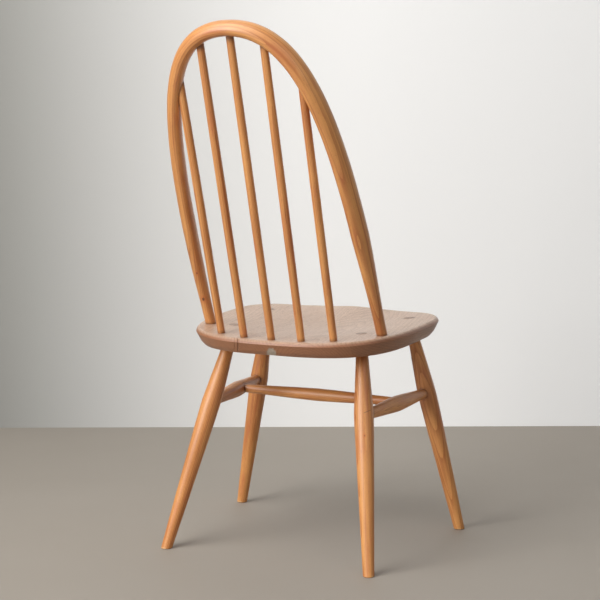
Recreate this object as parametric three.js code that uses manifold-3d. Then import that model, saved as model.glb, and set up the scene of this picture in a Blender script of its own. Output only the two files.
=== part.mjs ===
// Hoop-back dining chair: a saddled seat on four splayed legs, with a bent bow and five spindles.
// Millimetres, +Z up. The chair faces -Y and the sitter's left is +X.
// Y is measured from midway between the front and rear feet until the last lines centre the chair.
import * as THREE from 'three';
import { mergeVertices } from 'three/addons/utils/BufferGeometryUtils.js';
import Module from 'manifold-3d';

const wasm = await Module();
wasm.setup();

// Fit of every tenon in its socket, as a gap all round
const CLEARANCE = 0.3;

// Seat plan: two half superellipses that meet at the widest line
const SEAT_HALF_WIDTH = 216;
const SEAT_WIDEST_Y = -88;
const SEAT_REAR_REACH = 258;
const SEAT_FRONT_REACH = 140;
const SEAT_REAR_POWER = 3.1;
const SEAT_FRONT_POWER = 2.8;

// Seat section
const SEAT_HEIGHT = 412.2;
const SEAT_THICKNESS = 28.5;
const SEAT_SLOPE = 0.036;
const SEAT_SIDE_RISE = 5;
const SEAT_ROUND_INSET = 6;
const SEAT_ROUND_DROP = 6.5;
const SEAT_FACE_INSET = 8.5;
const SEAT_FACE_DROP = 21;
const SEAT_BEVEL_INSET = 16;

// Saddle: a wide hollow, and at the front a ridge between two thigh hollows
const DISH_DEPTH = 8;
const DISH_Y = -65;
const DISH_HALF_WIDTH = 175;
const DISH_HALF_LENGTH = 185;
const SADDLE_START_Y = -60;
const SADDLE_FULL_Y = -200;
const RIDGE_HEIGHT = 3.2;
const RIDGE_HALF_WIDTH = 42;
const THIGH_DEPTH = 2;
const THIGH_X = 112;
const THIGH_HALF_WIDTH = 45;

// Legs: where each axis meets the floor and the seat's underside
const FOOT_Y = 182.5;
const FRONT_FOOT_X = 242;
const REAR_FOOT_X = 208;
const FRONT_SOCKET_X = 158.7;
const FRONT_SOCKET_Y = -138.6;
const REAR_SOCKET_X = 137.6;
const REAR_SOCKET_Y = 55.2;
const LEG_FOOT_DIAMETER = 20.3;
const LEG_BELLY_DIAMETER = 36;
const LEG_NECK_DIAMETER = 21.5;
const LEG_BELLY_HEIGHT = 268;

// Stretchers: tenons reach the axis of the piece that takes them
const STRETCHER_FRONT_HEIGHT = 272.5;
const STRETCHER_REAR_HEIGHT = 269;
const SIDE_STRETCHER_END_DIAMETER = 17;
const SIDE_STRETCHER_BELLY_DIAMETER = 30;
const CROSS_STRETCHER_Y = -47;
const CROSS_STRETCHER_END_DIAMETER = 15;
const CROSS_STRETCHER_BELLY_DIAMETER = 24.5;

// Legs and stretchers taper both ways from a belly, which is rounded over this share of a taper
const BELLY_ROUNDING = 0.08;

// Bow: half of it is one cubic curve in a plane that leans back
const BOW_FOOT_X = 178;
const BOW_FOOT_Y = 56.5;
const BOW_LEAN = THREE.MathUtils.degToRad(24.5);
const BOW_RISE = 600.5;
const BOW_LIMB_HANDLE_X = 172.6;
const BOW_LIMB_HANDLE_RISE = 370.5;
const BOW_TOP_HANDLE = 156;
const BOW_THICKNESS = 26;
const BOW_DEPTH = 36;
const BOW_TENON_DIAMETER = 20;
const BOW_TAPER_LENGTH = 217.5;
const BOW_TWIST = THREE.MathUtils.degToRad(24);

// Spindles: a centre one, an inner pair and an outer pair, fanned a little and set forward in the bow
const SPINDLE_INNER_X = 58.4;
const SPINDLE_OUTER_X = 114.8;
const SPINDLE_INNER_TOP_X = 61.2;
const SPINDLE_OUTER_TOP_X = 118.4;
const SPINDLE_CENTRE_Y = 150.2;
const SPINDLE_INNER_Y = 146.2;
const SPINDLE_OUTER_Y = 129.2;
const SPINDLE_TOP_FORWARD = 3.5;
const SPINDLE_END_DIAMETER = 13.8;
const SPINDLE_BELLY_DIAMETER = 15.4;
const SPINDLE_SOCKET_DEPTH = 20;

// Wedges in the tenons that pass through the seat
const WEDGE_DEPTH = 20;
const WEDGE_HEAD = 2.6;
const WEDGE_TIP = 1;
const WEDGE_SIDE_GAP = 0.5;

// Facets
const SEAT_SIDES = 72;
const SEAT_RINGS = 7;
const ROUND_STEPS = 3;
const TURNED_SIDES = 14;
const TURNED_STEPS = 16;
const BOW_SIDES = 16;
const BOW_STEPS = 64;
const MERGE_DISTANCE = 1e-4;

// Finishes
const BEECH = { color: 0xcd9155, roughness: 0.42, metalness: 0 };
const ELM = { color: 0xa9805f, roughness: 0.5, metalness: 0 };
const WEDGE_WOOD = { color: 0x7a4a2a, roughness: 0.55, metalness: 0 };

const SIDES = { left: 1, right: -1 };
const AXIS = new THREE.Vector3(0, 1, 0);
const chair = new THREE.Group();

// A mesh as a solid in the chair's frame, without the flat triangles that a pole leaves.
function toSolid(mesh) {
  mesh.updateMatrixWorld(true);
  const bare = mesh.geometry.clone();
  bare.deleteAttribute('normal');
  bare.deleteAttribute('uv');
  bare.applyMatrix4(mesh.matrixWorld);
  const merged = mergeVertices(bare, MERGE_DISTANCE);
  const index = merged.index.array;
  const triangles = [];
  for (let i = 0; i < index.length; i += 3) {
    const [a, b, c] = index.slice(i, i + 3);
    if (a !== b && b !== c && c !== a) {
      triangles.push(a, b, c);
    }
  }
  return new wasm.Manifold(new wasm.Mesh({
    numProp: 3,
    vertProperties: merged.attributes.position.array,
    triVerts: new Uint32Array(triangles),
  }));
}

// Names and finishes a piece, with the given solid as its shape, in the piece's own frame.
function addPiece(name, mesh, solid, finish) {
  const cut = solid.getMesh();
  const geometry = new THREE.BufferGeometry();
  geometry.setAttribute('position', new THREE.BufferAttribute(new Float32Array(cut.vertProperties), 3));
  geometry.setIndex(Array.from(cut.triVerts));
  geometry.applyMatrix4(mesh.matrixWorld.clone().invert());
  geometry.computeVertexNormals();
  mesh.geometry = geometry;
  mesh.name = name;
  mesh.material = new THREE.MeshStandardMaterial(finish);
  chair.add(mesh);
}

function subtractAll(solid, tools) {
  return tools.reduce((rest, tool) => rest.subtract(tool), solid);
}

// Seat surfaces
function seatReach(angle) {
  const across = Math.abs(Math.cos(angle));
  const along = Math.sin(angle);
  const power = along > 0 ? SEAT_REAR_POWER : SEAT_FRONT_POWER;
  const reach = along > 0 ? SEAT_REAR_REACH : SEAT_FRONT_REACH;
  const sum = (across / SEAT_HALF_WIDTH) ** power + (Math.abs(along) / reach) ** power;
  return sum ** (-1 / power);
}

function dish(x, y) {
  const share = (x / DISH_HALF_WIDTH) ** 2 + ((y - DISH_Y) / DISH_HALF_LENGTH) ** 2;
  return DISH_DEPTH * Math.max(0, 1 - share) ** 1.5;
}

function saddle(x, y) {
  const ridge = RIDGE_HEIGHT * Math.exp(-((x / RIDGE_HALF_WIDTH) ** 2));
  const hollow = THIGH_DEPTH * Math.exp(-(((Math.abs(x) - THIGH_X) / THIGH_HALF_WIDTH) ** 2));
  return (ridge - hollow) * THREE.MathUtils.smoothstep(-y, -SADDLE_START_Y, -SADDLE_FULL_Y);
}

function seatTop(x, y) {
  const level = SEAT_HEIGHT - SEAT_SLOPE * y + SEAT_SIDE_RISE * (x / SEAT_HALF_WIDTH) ** 2;
  return level - dish(x, y) + saddle(x, y);
}

function seatUnderside(y) {
  return SEAT_HEIGHT - SEAT_SLOPE * y - SEAT_THICKNESS;
}

// The seat before its sockets are bored: a turned disc drawn out to the plan, sloped and hollowed.
function seatBlank() {
  const inner = SEAT_HALF_WIDTH - SEAT_BEVEL_INSET;
  const flat = SEAT_HALF_WIDTH - SEAT_ROUND_INSET;
  const outline = new THREE.Path();
  outline.moveTo(0, -SEAT_THICKNESS);
  outline.lineTo(inner, -SEAT_THICKNESS);
  outline.lineTo(SEAT_HALF_WIDTH - SEAT_FACE_INSET, -SEAT_FACE_DROP);
  outline.lineTo(SEAT_HALF_WIDTH, -SEAT_ROUND_DROP);
  outline.quadraticCurveTo(SEAT_HALF_WIDTH, 0, flat, 0);
  for (let ring = SEAT_RINGS - 1; ring >= 0; ring -= 1) {
    outline.lineTo((inner * ring) / SEAT_RINGS, 0);
  }
  const geometry = new THREE.LatheGeometry(outline.getPoints(ROUND_STEPS), SEAT_SIDES);
  geometry.rotateX(Math.PI / 2);
  const points = geometry.attributes.position;
  for (let i = 0; i < points.count; i += 1) {
    const angle = Math.atan2(points.getY(i), points.getX(i));
    const radius = Math.hypot(points.getX(i), points.getY(i));
    const reach = seatReach(angle);
    const inset = SEAT_HALF_WIDTH - radius;
    const shrunk = (radius / inner) * (reach - SEAT_BEVEL_INSET);
    const drawn = radius > inner ? reach - inset : shrunk;
    const x = drawn * Math.cos(angle);
    const y = SEAT_WIDEST_Y + drawn * Math.sin(angle);
    const depth = -points.getZ(i) / SEAT_THICKNESS;
    points.setXYZ(i, x, y, THREE.MathUtils.lerp(seatTop(x, y), seatUnderside(y), depth));
  }
  return new THREE.Mesh(geometry);
}

// A turned piece from start to end. radiusAt gives its radius at a distance along it.
function turned(start, end, radiusAt, grow = 0) {
  const length = start.distanceTo(end);
  const outline = [];
  for (let step = 0; step <= TURNED_STEPS; step += 1) {
    const along = (length * step) / TURNED_STEPS;
    outline.push(new THREE.Vector2(radiusAt(along, length) + grow, along));
  }
  outline[0].y -= grow;
  outline[TURNED_STEPS].y += grow;
  outline.unshift(new THREE.Vector2(0, outline[0].y));
  outline.push(new THREE.Vector2(0, outline[outline.length - 1].y));
  const mesh = new THREE.Mesh(new THREE.LatheGeometry(outline, TURNED_SIDES));
  mesh.position.copy(start);
  mesh.quaternion.setFromUnitVectors(AXIS, end.clone().sub(start).normalize());
  return mesh;
}

// Radius of a stick that swells evenly from both ends to its middle.
function swelling(endDiameter, bellyDiameter) {
  const rise = (bellyDiameter - endDiameter) / 2;
  return (along, length) => endDiameter / 2 + rise * Math.sin((Math.PI * along) / length);
}

// How far a taper has fallen from its belly, 0, to its end, 1.
function fall(share) {
  const rounded = Math.hypot(share, BELLY_ROUNDING) - BELLY_ROUNDING;
  return rounded / (Math.hypot(1, BELLY_ROUNDING) - BELLY_ROUNDING);
}

// Radius of a stick that tapers from a belly in its middle to both ends.
function tapering(endDiameter, bellyDiameter) {
  return (along, length) => {
    const share = Math.abs((2 * along) / length - 1);
    return THREE.MathUtils.lerp(bellyDiameter, endDiameter, fall(share)) / 2;
  };
}

function pointAtHeight(start, end, height) {
  return start.clone().lerp(end, (height - start.z) / (end.z - start.z));
}

// Leg axis from below the floor to above the seat, so that both ends can be trimmed flush.
function legAxis(end, side) {
  const front = end === 'front';
  const socketY = front ? FRONT_SOCKET_Y : REAR_SOCKET_Y;
  const socketX = SIDES[side] * (front ? FRONT_SOCKET_X : REAR_SOCKET_X);
  const socket = new THREE.Vector3(socketX, socketY, seatUnderside(socketY));
  const footX = SIDES[side] * (front ? FRONT_FOOT_X : REAR_FOOT_X);
  const foot = new THREE.Vector3(footX, front ? -FOOT_Y : FOOT_Y, 0);
  const low = pointAtHeight(foot, socket, -LEG_FOOT_DIAMETER);
  const high = pointAtHeight(foot, socket, SEAT_HEIGHT + SEAT_THICKNESS);
  return { low, high };
}

// Radius of a leg: tapered down to the foot, and up to a straight tenon in the seat.
function legRadius(along, length) {
  const low = -LEG_FOOT_DIAMETER;
  const high = SEAT_HEIGHT + SEAT_THICKNESS;
  const height = THREE.MathUtils.lerp(low, high, along / length);
  const neck = SEAT_HEIGHT - SEAT_THICKNESS;
  const below = height < LEG_BELLY_HEIGHT;
  const endHeight = below ? 0 : neck;
  const endDiameter = below ? LEG_FOOT_DIAMETER : LEG_NECK_DIAMETER;
  const share = (height - LEG_BELLY_HEIGHT) / (endHeight - LEG_BELLY_HEIGHT);
  return THREE.MathUtils.lerp(LEG_BELLY_DIAMETER, endDiameter, fall(Math.min(share, 1))) / 2;
}

// Bow: a point of its plane, given across the chair and up the plane from the seat's deck.
function bowPoint(x, rise) {
  const y = BOW_FOOT_Y + rise * Math.sin(BOW_LEAN);
  const z = seatTop(BOW_FOOT_X, BOW_FOOT_Y) + rise * Math.cos(BOW_LEAN);
  return new THREE.Vector3(x, y, z);
}

function bowHalf(sign) {
  return new THREE.CubicBezierCurve3(
    bowPoint(sign * BOW_FOOT_X, 0),
    bowPoint(sign * BOW_LIMB_HANDLE_X, BOW_LIMB_HANDLE_RISE),
    bowPoint(sign * BOW_TOP_HANDLE, BOW_RISE),
    bowPoint(0, BOW_RISE),
  );
}

// The bow's middle line, with a straight tenon at each foot that runs out below the seat.
function bowPath() {
  const path = new THREE.CurvePath();
  const left = bowHalf(SIDES.left);
  const right = bowHalf(SIDES.right);
  const mirrored = new THREE.CubicBezierCurve3(right.v3, right.v2, right.v1, right.v0);
  path.add(new THREE.LineCurve3(bowPoint(SIDES.left * BOW_FOOT_X, -2 * SEAT_THICKNESS), left.v0));
  path.add(left);
  path.add(mirrored);
  path.add(new THREE.LineCurve3(right.v0, bowPoint(SIDES.right * BOW_FOOT_X, -2 * SEAT_THICKNESS)));
  return path;
}

// A round bar bent along the bow's path, with an oval section that turns towards the sitter in the limbs.
function bow(grow = 0) {
  const path = bowPath();
  const length = path.getLength();
  const tenon = 2 * SEAT_THICKNESS;
  const rear = new THREE.Vector3(0, Math.cos(BOW_LEAN), -Math.sin(BOW_LEAN));
  const up = new THREE.Vector3(0, Math.sin(BOW_LEAN), Math.cos(BOW_LEAN));
  const geometry = new THREE.CylinderGeometry(1, 1, 1, BOW_SIDES, BOW_STEPS);
  const points = geometry.attributes.position;
  for (let i = 0; i < points.count; i += 1) {
    const share = points.getY(i) + 0.5;
    const centre = path.getPointAt(share);
    const tangent = path.getTangentAt(share);
    const inward = tangent.clone().cross(rear);
    const fromEnd = length * Math.min(share, 1 - share) - tenon;
    const full = THREE.MathUtils.smoothstep(fromEnd, 0, BOW_TAPER_LENGTH);
    const thick = THREE.MathUtils.lerp(BOW_TENON_DIAMETER, BOW_THICKNESS, full) / 2 + grow;
    const deep = THREE.MathUtils.lerp(BOW_TENON_DIAMETER, BOW_DEPTH, full) / 2 + grow;
    const twist = BOW_TWIST * full * Math.abs(tangent.dot(up));
    const across = thick * points.getX(i);
    const back = deep * points.getZ(i);
    const inwardPart = across * Math.cos(twist) + back * Math.sin(twist);
    const rearPart = back * Math.cos(twist) - across * Math.sin(twist);
    centre.addScaledVector(inward, inwardPart).addScaledVector(rear, rearPart);
    points.setXYZ(i, centre.x, centre.y, centre.z);
  }
  return new THREE.Mesh(geometry);
}

// Where the bow's middle line passes a given distance from the chair's centre line.
function bowOver(x) {
  const half = bowHalf(Math.sign(x) || 1);
  let low = 0;
  let high = 1;
  while (high - low > MERGE_DISTANCE) {
    const middle = (low + high) / 2;
    if (Math.abs(half.getPoint(middle).x) > Math.abs(x)) {
      low = middle;
    } else {
      high = middle;
    }
  }
  return half.getPoint(high);
}

// Spindle axis from the bottom of its socket in the seat to just before the bow's middle line.
function spindleAxis(x, y, topX) {
  const base = new THREE.Vector3(x, y, seatTop(x, y));
  const top = bowOver(topX);
  top.y -= SPINDLE_TOP_FORWARD;
  const down = base.clone().sub(top).normalize();
  return { low: base.addScaledVector(down, SPINDLE_SOCKET_DEPTH), high: top };
}

// A wedge for a tenon of the given diameter, whose end is at the origin and points along +Y.
function wedge(diameter, grow = 0) {
  const head = WEDGE_HEAD / 2 + grow;
  const tip = WEDGE_TIP / 2 + grow;
  const width = diameter - 2 * WEDGE_SIDE_GAP + 4 * grow;
  const section = new THREE.Shape();
  section.moveTo(-tip, -WEDGE_DEPTH - grow);
  section.lineTo(tip, -WEDGE_DEPTH - grow);
  section.lineTo(head, WEDGE_DEPTH);
  section.lineTo(-head, WEDGE_DEPTH);
  section.closePath();
  const geometry = new THREE.ExtrudeGeometry(section, { depth: width, bevelEnabled: false });
  geometry.translate(0, 0, -width / 2);
  geometry.rotateY(Math.PI / 2);
  return geometry;
}

function wedgeMesh(diameter, end, direction, grow = 0) {
  const mesh = new THREE.Mesh(wedge(diameter, grow));
  mesh.position.copy(end);
  mesh.quaternion.setFromUnitVectors(AXIS, direction);
  return mesh;
}

// Space that a tenon may fill: the seat's own body with everything below it, or everything above it.
function spaceWithSeat(blank, bottom, top) {
  const size = 4 * SEAT_REAR_REACH;
  const space = new THREE.Mesh(new THREE.BoxGeometry(size, size, top - bottom));
  space.position.z = (top + bottom) / 2;
  return blank.add(toSolid(space));
}

// Build
const seat = seatBlank();
const blank = toSolid(seat);
const seatMiddle = SEAT_HEIGHT - SEAT_THICKNESS / 2;
const seatAndBelow = spaceWithSeat(blank, 0, seatMiddle);
const seatAndAbove = spaceWithSeat(blank, seatMiddle, SEAT_HEIGHT + 2 * BOW_RISE);
const seatSockets = [];
const bowSockets = [];

// Cross stretcher, between the side stretchers
const jointAt = (end, side) => {
  const axis = legAxis(end, side);
  return pointAtHeight(axis.low, axis.high, end === 'front' ? STRETCHER_FRONT_HEIGHT : STRETCHER_REAR_HEIGHT);
};
const crossJoint = (side) => {
  const rear = jointAt('rear', side);
  const front = jointAt('front', side);
  return rear.clone().lerp(front, (CROSS_STRETCHER_Y - rear.y) / (front.y - rear.y));
};
const crossRadius = tapering(CROSS_STRETCHER_END_DIAMETER, CROSS_STRETCHER_BELLY_DIAMETER);
const crossEnds = [crossJoint('left'), crossJoint('right')];
const cross = turned(...crossEnds, crossRadius);
const crossSocket = toSolid(turned(...crossEnds, crossRadius, CLEARANCE));
addPiece('cross_stretcher', cross, toSolid(cross), BEECH);

for (const side of Object.keys(SIDES)) {
  // Side stretcher, bored for the cross stretcher
  const sideRadius = tapering(SIDE_STRETCHER_END_DIAMETER, SIDE_STRETCHER_BELLY_DIAMETER);
  const sideEnds = [jointAt('rear', side), jointAt('front', side)];
  const rail = turned(...sideEnds, sideRadius);
  const railSocket = toSolid(turned(...sideEnds, sideRadius, CLEARANCE));
  addPiece(`side_stretcher_${side}`, rail, toSolid(rail).subtract(crossSocket), BEECH);

  for (const end of ['front', 'rear']) {
    // Leg, bored for the side stretcher, trimmed at the floor and at the seat's top, and split for its wedge
    const { low, high } = legAxis(end, side);
    const leg = turned(low, high, legRadius);
    const socketY = end === 'front' ? FRONT_SOCKET_Y : REAR_SOCKET_Y;
    const tenonEnd = pointAtHeight(low, high, seatUnderside(socketY) + SEAT_THICKNESS);
    const upward = high.clone().sub(low).normalize();
    const key = wedgeMesh(LEG_NECK_DIAMETER, tenonEnd, upward);
    const keySlot = toSolid(wedgeMesh(LEG_NECK_DIAMETER, tenonEnd, upward, CLEARANCE));
    const trimmed = toSolid(leg).intersect(seatAndBelow);
    addPiece(`leg_${end}_${side}`, leg, subtractAll(trimmed, [railSocket, keySlot]), BEECH);
    addPiece(`leg_wedge_${end}_${side}`, key, toSolid(key).intersect(blank), WEDGE_WOOD);
    seatSockets.push(toSolid(turned(low, high, legRadius, CLEARANCE)));
  }
}

// Spindles, from the sitter's far left to the far right
const spindles = {
  far_left: spindleAxis(SPINDLE_OUTER_X, SPINDLE_OUTER_Y, SPINDLE_OUTER_TOP_X),
  left: spindleAxis(SPINDLE_INNER_X, SPINDLE_INNER_Y, SPINDLE_INNER_TOP_X),
  centre: spindleAxis(0, SPINDLE_CENTRE_Y, 0),
  right: spindleAxis(-SPINDLE_INNER_X, SPINDLE_INNER_Y, -SPINDLE_INNER_TOP_X),
  far_right: spindleAxis(-SPINDLE_OUTER_X, SPINDLE_OUTER_Y, -SPINDLE_OUTER_TOP_X),
};
for (const [name, { low, high }] of Object.entries(spindles)) {
  const radius = swelling(SPINDLE_END_DIAMETER, SPINDLE_BELLY_DIAMETER);
  const spindle = turned(low, high, radius);
  const socket = toSolid(turned(low, high, radius, CLEARANCE));
  seatSockets.push(socket);
  bowSockets.push(socket);
  addPiece(`spindle_${name}`, spindle, toSolid(spindle), BEECH);
}

// Bow, bored for the spindles, trimmed at the seat's underside and split for a wedge at each foot
const hoop = bow();
const downward = bowPoint(0, -1).sub(bowPoint(0, 0));
for (const [side, sign] of Object.entries(SIDES)) {
  const tenonEnd = bowPoint(sign * BOW_FOOT_X, -SEAT_THICKNESS / Math.cos(BOW_LEAN));
  const key = wedgeMesh(BOW_TENON_DIAMETER, tenonEnd, downward);
  bowSockets.push(toSolid(wedgeMesh(BOW_TENON_DIAMETER, tenonEnd, downward, CLEARANCE)));
  addPiece(`bow_wedge_${side}`, key, toSolid(key).intersect(blank), WEDGE_WOOD);
}
addPiece('bow', hoop, subtractAll(toSolid(hoop).intersect(seatAndAbove), bowSockets), BEECH);
seatSockets.push(toSolid(bow(CLEARANCE)));

// Seat, bored for every leg, spindle and bow foot
addPiece('seat', seat, subtractAll(blank, seatSockets), ELM);

// The chair stands on z = 0, centred over its own box.
const box = new THREE.Box3().setFromObject(chair);
chair.position.y = -(box.min.y + box.max.y) / 2;

export default chair;
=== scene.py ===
"""Looks of a hoop-back dining chair in lacquered beech and elm, built around its solids.

Metres, +Z up, the chair faces -Y and the sitter's left is +X. Shapes are worked out with Y measured
from midway between the feet, and add_piece moves them into the frame of the solids.
"""
import math
import random

import bpy
import numpy as np
from mathutils import Euler, Matrix, Vector, noise


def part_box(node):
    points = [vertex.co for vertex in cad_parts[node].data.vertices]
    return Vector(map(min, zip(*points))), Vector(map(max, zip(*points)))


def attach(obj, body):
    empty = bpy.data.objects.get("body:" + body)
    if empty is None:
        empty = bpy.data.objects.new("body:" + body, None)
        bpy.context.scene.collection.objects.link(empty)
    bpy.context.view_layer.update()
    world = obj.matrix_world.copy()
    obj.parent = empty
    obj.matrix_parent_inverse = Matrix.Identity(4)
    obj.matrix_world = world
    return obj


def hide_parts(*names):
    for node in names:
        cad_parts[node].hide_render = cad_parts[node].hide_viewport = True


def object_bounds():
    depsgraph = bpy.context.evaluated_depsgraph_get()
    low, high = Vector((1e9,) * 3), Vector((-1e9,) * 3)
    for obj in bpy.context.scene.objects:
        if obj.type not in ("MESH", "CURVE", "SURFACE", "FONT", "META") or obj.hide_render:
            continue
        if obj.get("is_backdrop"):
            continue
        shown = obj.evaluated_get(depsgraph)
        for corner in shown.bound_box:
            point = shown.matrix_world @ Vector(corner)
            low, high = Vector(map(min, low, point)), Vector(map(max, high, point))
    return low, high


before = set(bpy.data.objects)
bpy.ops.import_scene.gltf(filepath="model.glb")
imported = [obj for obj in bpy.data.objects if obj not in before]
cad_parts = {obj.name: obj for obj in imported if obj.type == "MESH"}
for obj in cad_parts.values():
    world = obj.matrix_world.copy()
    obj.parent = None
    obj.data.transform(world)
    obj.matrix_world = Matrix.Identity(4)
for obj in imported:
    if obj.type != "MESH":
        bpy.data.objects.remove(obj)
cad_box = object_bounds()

SEED = 57

# Seat plan: two half superellipses that meet at the widest line
SEAT_HALF_WIDTH = 0.216
SEAT_WIDEST_Y = -0.088
SEAT_REAR_REACH = 0.258
SEAT_FRONT_REACH = 0.140
SEAT_REAR_POWER = 3.1
SEAT_FRONT_POWER = 2.8

# Seat section, with the softened corners that sanding leaves
SEAT_HEIGHT = 0.4122
SEAT_THICKNESS = 0.0285
SEAT_SLOPE = 0.036
SEAT_SIDE_RISE = 0.005
SEAT_ROUND_INSET = 0.006
SEAT_ROUND_DROP = 0.0065
SEAT_FACE_INSET = 0.0085
SEAT_FACE_DROP = 0.021
SEAT_BEVEL_INSET = 0.016
SEAT_CORNER = 0.002
SEAT_ARRIS = 0.0008
SEAT_CREST = (0.0018, 0.0019)

# Saddle: a wide hollow, and at the front a ridge between two thigh hollows
DISH_DEPTH = 0.008
DISH_Y = -0.065
DISH_HALF_WIDTH = 0.175
DISH_HALF_LENGTH = 0.185
SADDLE_START_Y = -0.060
SADDLE_FULL_Y = -0.200
RIDGE_HEIGHT = 0.0032
RIDGE_HALF_WIDTH = 0.042
THIGH_DEPTH = 0.002
THIGH_X = 0.112
THIGH_HALF_WIDTH = 0.045

# Legs and stretchers
FOOT_Y = 0.1825
FOOT_X = {"front": 0.242, "rear": 0.208}
SOCKET_X = {"front": 0.1587, "rear": 0.1376}
SOCKET_Y = {"front": -0.1386, "rear": 0.0552}
LEG_FOOT_RADIUS = 0.01015
LEG_BELLY_RADIUS = 0.018
LEG_NECK_RADIUS = 0.01075
LEG_BELLY_HEIGHT = 0.268
FOOT_CHAMFER = 0.0009
STRETCHER_HEIGHT = {"front": 0.2725, "rear": 0.269}
SIDE_RAIL_RADII = (0.0085, 0.015)
CROSS_RAIL_Y = -0.047
CROSS_RAIL_RADII = (0.0075, 0.01225)
BELLY_ROUNDING = 0.08

# Bow: half of it is one cubic curve in a plane that leans back
BOW_FOOT = (0.178, 0.0565)
BOW_LEAN = math.radians(24.5)
BOW_CURVE = ((0.178, 0.0), (0.1726, 0.3705), (0.156, 0.6005), (0.0, 0.6005))
BOW_HALF_THICKNESS = 0.013
BOW_HALF_DEPTH = 0.018
BOW_TENON_RADIUS = 0.010
BOW_TAPER_LENGTH = 0.2175
BOW_TWIST = math.radians(24)

# Spindles: x and y at the seat, and x at the bow
SPINDLES = {
    "far_left": (0.1148, 0.1292, 0.1184),
    "left": (0.0584, 0.1462, 0.0612),
    "centre": (0.0, 0.1502, 0.0),
    "right": (-0.0584, 0.1462, -0.0612),
    "far_right": (-0.1148, 0.1292, -0.1184),
}
SPINDLE_RADII = (0.0069, 0.0077)
SPINDLE_TOP_FORWARD = 0.0035
SPINDLE_SOCKET_DEPTH = 0.020

# Wedges, and how far sanded tenon ends and wedges stand proud of the seat
WEDGE_DEPTH = 0.020
WEDGE_HEAD = 0.0026
WEDGE_TIP = 0.001
WEDGE_SIDE_GAP = 0.0005
TENON_PROUD = 0.0002
WEDGE_PROUD = 0.00035
WEDGE_DARK = {"front": 0.7, "rear": 0.1}

# Damage on the seat's rear edge slants this much along it, measured from this line
EDGE_SLANT = 0.49
EDGE_Y = 0.170

# Splits beside a spindle's socket: place, half width, depth and stain of each, and how they wander
SPLITS = ((0.0591, 0.0009, 0.0013, 0.55), (0.0655, 0.0008, 0.0007, 0.25))
SPLIT_START_Y = 0.150
SPLIT_FADE = 0.012
SPLIT_WANDER = (0.0005, 0.0003)
SPLIT_WAVES = (260, 900)

# A filled chip: its middle, half size and depth, its ragged rim, and where the rear edge begins
CHIP_CENTRE = (-0.0092, 0.3835)
CHIP_HALF_SIZE = (0.0112, 0.0120)
CHIP_DEPTH = 0.0007
CHIP_RIM = (1.1, 0.35)
CHIP_RAGGED = ((0.14, 900, 500), (0.1, -700, 1700))
CHIP_EDGE_Y = (0.149, 0.156)

# Faint dents all over the seat: lumps a metre, and depth
DENT_SCALE = 28
DENT_DEPTH = 0.00012

# Knots in the beech: place, half width and strength of each, and how much they are stretched
KNOTS = (
    ((0.1742, 0.0914, 0.4642), 0.0031, 0.95),
    ((0.1720, 0.1189, 0.5166), 0.0019, 0.8),
    ((-0.1715, 0.1193, 0.2383), 0.0015, 0.8),
)
KNOT_STRETCH = 0.62

# A thin dark line on one rear leg: its middle, its slope across the leg, half length and half width
DARK_LINE_PLACE = (-0.1685, 0.101, 0.2794)
DARK_LINE_SLOPE = 0.477
DARK_LINE_HALF_LENGTH = 0.0095
DARK_LINE_HALF_WIDTH = 0.0006

# Grime and painted shade at the joints: its strength on the seat, and how far it spreads on each kind of
# piece
SEAT_GRIME_AND_SHADE = 0.45
SEAT_GRIME_AND_SHADE_WIDTH = 0.0028
STICK_GRIME_AND_SHADE_WIDTH = 0.004
JOINT_GRIME_AND_SHADE_WIDTH = 0.0025
BOW_FOOT_GRIME_AND_SHADE_WIDTH = 0.003
BOW_GRIME_AND_SHADE_ABOVE = 0.2
TENON_REACH = {"front": 1.2, "rear": 1.03}

# Unevenness of hand turning: two waves, each with its share of the radius and its rate along the piece
TURNING_WAVES = ((0.005, 55), (0.003, 140))
TURNING_PHASE = 10

# Where each piece was cut: how far off the heart of the tree, and along what length
PLANK_OFF_HEART = (0.02, 0.06)
PLANK_LENGTH = 20

# Fineness of the meshes. Ribs are degrees from, to and apart, and rings are shares from, to and their count
SEAT_SIDES = 400
SPLIT_RIBS = (73.6, 78.4, 0.06)
CHIP_RIBS = (88.6, 95.8, 0.2)
SEAT_UNDER_RINGS = (0.03, 0.99, 38)
SEAT_TOP_RINGS = (0.992, 0.012, 82)
CORNER_STEPS = 6
ARRIS_STEPS = 5
FACE_STEPS = 12
TURNED_SIDES = 48
TURNED_STEP = 0.004
TURNED_LEAST = 12
LEG_FIRST_RING = 0.003
BOW_SIDES = 64
BOW_STEP = 0.003
BOW_HALF_STEPS = 2000
BOW_SEARCH_STEPS = 4000
BOW_TENON_RINGS = (1, 0.01, 20)
WEDGE_STEPS = 12
SHARP_ANGLE = math.radians(35)

# Camera and stage, as the photograph frames them
CAMERA_PLACE = (-1.3244, 2.7286, 0.8591)
CAMERA_YAW = math.radians(26.156)
CAMERA_PITCH = math.radians(7.47)
CAMERA_ROLL = math.radians(-0.17)
CAMERA_LENS = 96.93
CAMERA_SENSOR = 36
FLOOR_REACH = 8
WALL_DISTANCE = 4.056
WALL_HALF_WIDTH = 4
WALL_HEIGHT = 4
# The wall's painted shade is full at the first distance to the camera's right and turns to painted light,
# full at the second; then the strength of its painted glow
WALL_PAINTED_SHADE_AT = -1.12
WALL_PAINTED_LIGHT_AT = 0.22
WALL_PAINTED_GLOW = 0.12

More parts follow.
